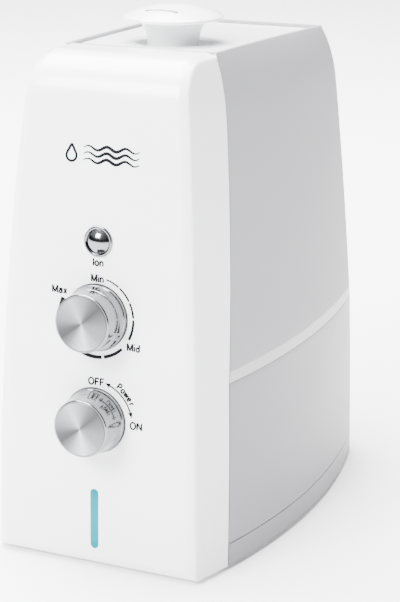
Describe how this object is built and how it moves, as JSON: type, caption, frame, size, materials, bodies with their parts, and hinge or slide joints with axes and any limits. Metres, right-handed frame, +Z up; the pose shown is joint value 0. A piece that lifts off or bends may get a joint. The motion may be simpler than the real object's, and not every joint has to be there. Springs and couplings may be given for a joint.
{
  "type": "cool mist humidifier",
  "caption": "Ultrasonic cool mist humidifier with a lift-off frosted water tank, turning mist nozzle, two front knobs, ioniser button and light.",
  "frame": {"origin": "centre of the footprint, on the plane that the feet stand on", "axes": "+Z up, the front with the knobs faces -Y, +X to the right seen from the front"},
  "size_m": [0.1954, 0.2845, 0.3385],
  "materials": {
    "white_gloss": "gloss",
    "white_plastic": "satin",
    "grey_plastic": "satin",
    "frosted_tank": "frosted",
    "chrome": "polished",
    "spun_metal": "spun",
    "steel": "brushed",
    "rubber": "matte",
    "black_plastic": "matte",
    "circuit_board": "satin",
    "copper": "satin",
    "cyan_light": "gloss",
    "silicone": "matte"
  },
  "bodies": {
    "root": {"front_cover": "white_gloss", "front_liner": "white_plastic", "base_housing": "grey_plastic", "bottom_tray": "grey_plastic", "feet": "rubber", "tray_screws": "steel", "basin": "white_plastic", "light_lens": "cyan_light", "light_board": "circuit_board", "ion_bezel": "chrome", "ion_switch": "black_plastic", "ion_spring": "steel", "control_board": "circuit_board", "level_pot": "steel", "power_switch": "black_plastic", "ioniser": "black_plastic", "power_board": "circuit_board", "transformer": "copper", "heat_sink": "spun_metal", "power_inlet": "black_plastic", "fan_housing": "black_plastic", "air_duct": "black_plastic", "mist_disc": "steel", "disc_seal": "silicone", "disc_ring": "steel", "float_clip": "white_plastic"},
    "ion": {"ion_button": "chrome"},
    "level": {"level_shaft": "steel", "level_knob": "chrome", "level_face": "spun_metal"},
    "power": {"power_shaft": "steel", "power_knob": "chrome", "power_face": "spun_metal"},
    "fan": {"fan_impeller": "black_plastic"},
    "float": {"float": "white_plastic"},
    "tank": {"tank_shell": "frosted_tank", "tank_floor": "white_plastic", "tank_lid": "white_gloss", "mist_duct": "frosted_tank"},
    "cap": {"tank_cap": "white_plastic", "cap_seal": "silicone", "valve_cage": "white_plastic", "valve_spring": "steel"},
    "valve": {"valve_plunger": "white_plastic", "valve_seal": "silicone"},
    "nozzle": {"nozzle_insert": "white_plastic"},
    "nozzle_top": {"nozzle_stem": "white_gloss", "nozzle_cap": "white_gloss"}
  },
  "joints": [
    {"name": "tank_lift", "type": "slide", "parent": "root", "child": "tank", "axis": [0, 0.1709, 0.9853], "range_m": [0, 0.22]},
    {"name": "cap_turn", "type": "hinge", "parent": "tank", "child": "cap", "pos_m": [0, 0.07977, 0.10725], "axis": [0, 0, 1], "range_deg": [0, 360]},
    {"name": "valve_lift", "type": "slide", "parent": "cap", "child": "valve", "axis": [0, 0, 1], "range_m": [0, 0.004], "stiffness_N_per_m": 120, "springref_m": -0.008, "deforming": ["valve_spring"]},
    {"name": "nozzle_lift", "type": "slide", "parent": "tank", "child": "nozzle", "axis": [0, 0, 1], "range_m": [0, 0.06]},
    {"name": "nozzle_turn", "type": "hinge", "parent": "nozzle", "child": "nozzle_top", "pos_m": [0, -0.00023, 0.29399], "axis": [0, 0, 1], "continuous": true},
    {"name": "power_turn", "type": "hinge", "parent": "root", "child": "power", "pos_m": [0, -0.12085, 0.0985], "axis": [0, -0.9979, 0.0649], "range_deg": [0, 97]},
    {"name": "level_turn", "type": "hinge", "parent": "root", "child": "level", "pos_m": [0, -0.11578, 0.1635], "axis": [0, -0.9959, 0.0906], "range_deg": [-165, 135]},
    {"name": "ion_press", "type": "slide", "parent": "root", "child": "ion", "axis": [0, 0.994, -0.1089], "range_m": [0, 0.0015], "stiffness_N_per_m": 500, "springref_m": -0.001, "deforming": ["ion_spring"]},
    {"name": "fan_spin", "type": "hinge", "parent": "root", "child": "fan", "pos_m": [-0.036, -0.03023, 0.006], "axis": [0, 0, 1], "continuous": true},
    {"name": "float_rise", "type": "slide", "parent": "root", "child": "float", "axis": [0, 0, 1], "range_m": [0, 0.008]}
  ]
}
